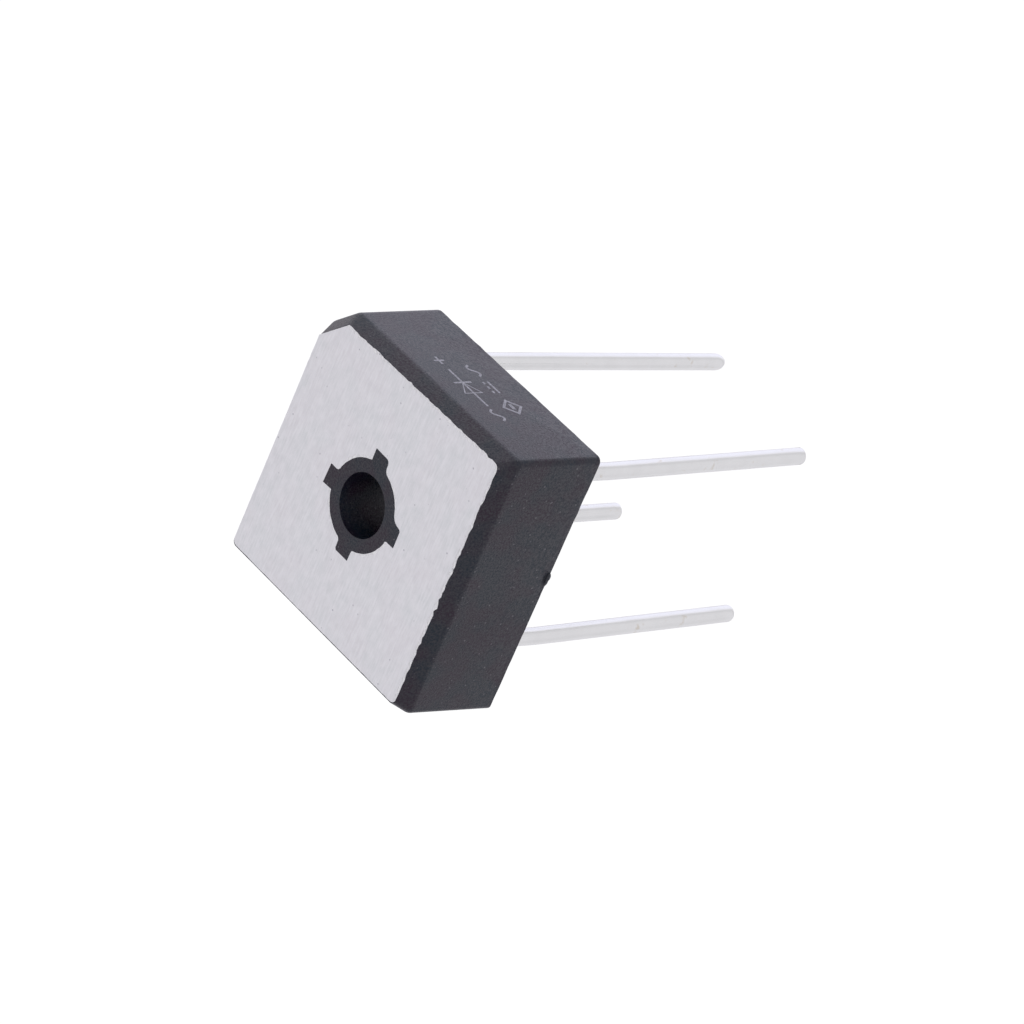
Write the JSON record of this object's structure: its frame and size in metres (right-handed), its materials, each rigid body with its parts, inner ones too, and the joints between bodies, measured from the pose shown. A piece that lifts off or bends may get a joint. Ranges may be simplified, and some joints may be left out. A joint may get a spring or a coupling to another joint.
{
  "type": "bridge rectifier",
  "caption": "Square moulded bridge rectifier with a cut corner, an aluminium heat-sink face, a central screw hole and round wire leads.",
  "frame": {"origin": "where the screw hole's axis meets the heat-sink face", "axes": "+Z out of the heat-sink face along the screw hole, with the leads towards -Z; -Y out of the marked side; the cut corner and the + lead are at +X -Y"},
  "size_m": [0.0194, 0.0192, 0.0348],
  "materials": {
    "case": "fine matte moulded epoxy",
    "plate": "satin, finely brushed",
    "potting": "smooth cast epoxy",
    "lead": "bright tin over copper",
    "tab": "bare copper",
    "die": "polished silicon",
    "solder": "dull solder"
  },
  "bodies": {
    "root": {"case": "case", "heat_sink_plate": "plate", "potting": "potting", "lead_positive": "lead", "lead_ac_1": "lead", "lead_negative": "lead", "lead_ac_2": "lead", "tab_positive": "tab", "tab_ac_1": "tab", "tab_negative": "tab", "tab_ac_2": "tab", "lead_solder_positive": "solder", "lead_solder_ac_1": "solder", "lead_solder_negative": "solder", "lead_solder_ac_2": "solder", "die_positive_ac_1": "die", "die_negative_ac_1": "die", "die_negative_ac_2": "die", "die_positive_ac_2": "die", "ac_solder_positive_ac_1": "solder", "ac_solder_negative_ac_1": "solder", "ac_solder_negative_ac_2": "solder", "ac_solder_positive_ac_2": "solder", "dc_solder_positive_ac_1": "solder", "dc_solder_negative_ac_1": "solder", "dc_solder_negative_ac_2": "solder", "dc_solder_positive_ac_2": "solder"}
  },
  "joints": []
}
